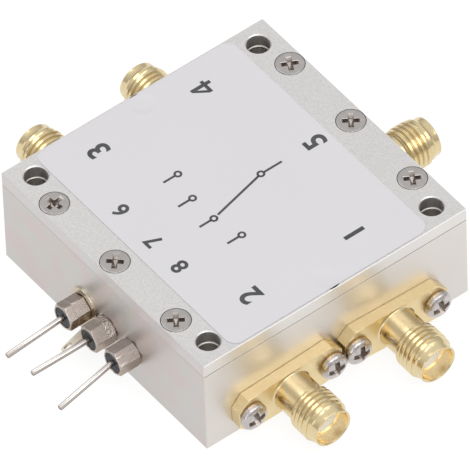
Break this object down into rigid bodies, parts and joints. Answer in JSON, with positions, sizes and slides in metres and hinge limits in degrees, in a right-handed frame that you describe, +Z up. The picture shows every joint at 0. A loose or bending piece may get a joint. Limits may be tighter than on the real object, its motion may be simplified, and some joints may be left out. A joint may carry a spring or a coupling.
{
  "type": "rf switch module",
  "caption": "Square milled box with a screwed lid and label, flanged threaded coaxial jacks on three sides, and filtered feedthrough leads with a ground lug on the fourth.",
  "frame": {"origin": "middle of the box's underside, midway between the four corner holes", "axes": "+Z up out of the lid; -Y the side with ports 1 and 2, +X the side with the common port, -X the side with the feedthroughs"},
  "size_m": [0.0618, 0.0596, 0.0151],
  "materials": {
    "housing": "milled, satin",
    "lid": "milled, satin",
    "label": "silver polyester film, satin",
    "lid_screws": "plain stainless",
    "plating": "gold plated, bright",
    "insulator": "fluoropolymer, waxy",
    "contact": "gold plated, bright",
    "flange_screws": "nickel plated, bright",
    "feedthrough": "nickel plated, satin",
    "ceramic": "sintered ceramic",
    "resin": "cast epoxy, glossy",
    "lead": "tinned, bright",
    "lug": "tinned, satin",
    "board": "glass-epoxy laminate with solder mask",
    "board_screws": "plain stainless",
    "chip": "moulded epoxy"
  },
  "bodies": {
    "root": {"housing": "housing", "lid": "lid", "label": "label", "lid_screws": "lid_screws", "jack_1_shell": "plating", "jack_2_shell": "plating", "jack_3_shell": "plating", "jack_4_shell": "plating", "jack_5_shell": "plating", "jack_1_insulator": "insulator", "jack_2_insulator": "insulator", "jack_3_insulator": "insulator", "jack_4_insulator": "insulator", "jack_5_insulator": "insulator", "jack_1_contact": "contact", "jack_2_contact": "contact", "jack_3_contact": "contact", "jack_4_contact": "contact", "jack_5_contact": "contact", "flange_screws": "flange_screws", "feedthrough_1_body": "feedthrough", "feedthrough_2_body": "feedthrough", "feedthrough_3_body": "feedthrough", "lug_nut": "feedthrough", "feedthrough_1_capacitor": "ceramic", "feedthrough_2_capacitor": "ceramic", "feedthrough_3_capacitor": "ceramic", "blocking_capacitors": "ceramic", "bypass_capacitors": "ceramic", "feedthrough_1_outer_seal": "resin", "feedthrough_2_outer_seal": "resin", "feedthrough_3_outer_seal": "resin", "feedthrough_1_inner_seal": "resin", "feedthrough_2_inner_seal": "resin", "feedthrough_3_inner_seal": "resin", "feedthrough_1_lead": "lead", "feedthrough_2_lead": "lead", "feedthrough_3_lead": "lead", "solder_lug": "lug", "circuit_board": "board", "board_screws": "board_screws", "switch_chip": "chip"}
  },
  "joints": []
}
